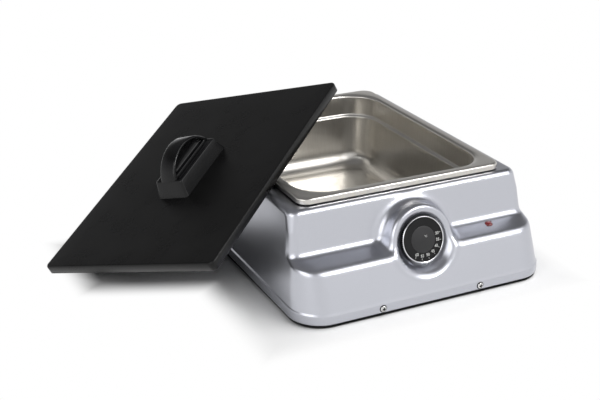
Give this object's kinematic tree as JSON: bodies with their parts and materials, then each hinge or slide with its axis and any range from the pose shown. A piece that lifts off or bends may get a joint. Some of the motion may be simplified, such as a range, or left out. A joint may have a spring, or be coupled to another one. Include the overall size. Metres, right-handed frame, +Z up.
{
  "type": "chocolate melting tank",
  "caption": "Counter-top chocolate melting tank: drafted silver housing with a stepped front and dished dial boss, lift-out steel pan, mains inlet and a flat lid leaning on the rim.",
  "frame": {"origin": "on the worktop, in the plane of the feet, straight below the middle of the pan", "axes": "+Z up, -Y towards the front with the dial, +X to the right of someone facing the front"},
  "size_m": [0.5362, 0.448, 0.1979],
  "materials": {
    "silver_moulding": "silver metallic lacquer, satin gloss",
    "zinc_sheet": "dark grey coated sheet",
    "plated_steel": "bright zinc plate",
    "rubber": "matt",
    "stainless": "deep-drawn stainless steel, satin polish",
    "aluminium_plate": "plain mill finish",
    "element_sheath": "heat-darkened",
    "ceramic": "glazed insulator",
    "mica_board": "pressed board",
    "brass": "plain",
    "copper": "drawn copper",
    "brown_phenolic": "moulded",
    "white_plastic": "moulded",
    "black_gloss": "glossy moulding",
    "dial_print": "printed face",
    "bright_trim": "bright",
    "red_lens": "clear red lens",
    "black_matte": "moulded",
    "black_insulation": "smooth",
    "red_insulation": "silicone",
    "lid_black": "satin moulding"
  },
  "bodies": {
    "tank": {"housing": "silver_moulding", "base_tray": "zinc_sheet", "flange_screws": "plated_steel", "rubber_feet": "rubber", "foot_screws": "plated_steel", "foot_nuts": "plated_steel", "heater_plate": "aluminium_plate", "heating_element": "element_sheath", "element_ends": "ceramic", "element_clamps": "plated_steel", "clamp_screws": "plated_steel", "insulating_board": "mica_board", "standoffs": "brass", "plate_screws": "plated_steel", "tray_screws": "plated_steel", "thermal_cutout": "brown_phenolic", "thermostat_case": "white_plastic", "thermostat_screws": "plated_steel", "sensor_bulb": "copper", "bulb_clips": "plated_steel", "capillary_tube": "copper", "pilot_lamp_lens": "red_lens", "pilot_lamp_body": "black_matte", "pilot_lamp_nut": "plated_steel", "mains_inlet": "black_matte", "inlet_pins": "brass", "inlet_screws": "plated_steel", "terminal_block": "white_plastic", "terminal_screws": "plated_steel", "earth_stud": "brass", "mains_leads": "black_insulation", "element_leads": "red_insulation", "lamp_leads": "red_insulation"},
    "pan": {"pan": "stainless"},
    "lid": {"lid_panel": "lid_black", "lid_handle": "black_gloss", "lid_screws": "plated_steel"},
    "dial": {"thermostat_shaft": "plated_steel", "dial_knob": "black_gloss", "dial_disc": "dial_print", "dial_trim_ring": "bright_trim"}
  },
  "joints": [
    {"name": "pan_lift", "type": "slide", "parent": "tank", "child": "pan", "axis": [0, 0, 1], "range_m": [0, 0.15]},
    {"name": "lid_lift", "type": "slide", "parent": "pan", "child": "lid", "axis": [0, 0, 1], "range_m": [0, 0.2]},
    {"name": "dial_turn", "type": "hinge", "parent": "tank", "child": "dial", "pos_m": [0, -0.194, 0.0665], "axis": [0, -0.9613, 0.2756], "range_deg": [-210, 0]}
  ]
}
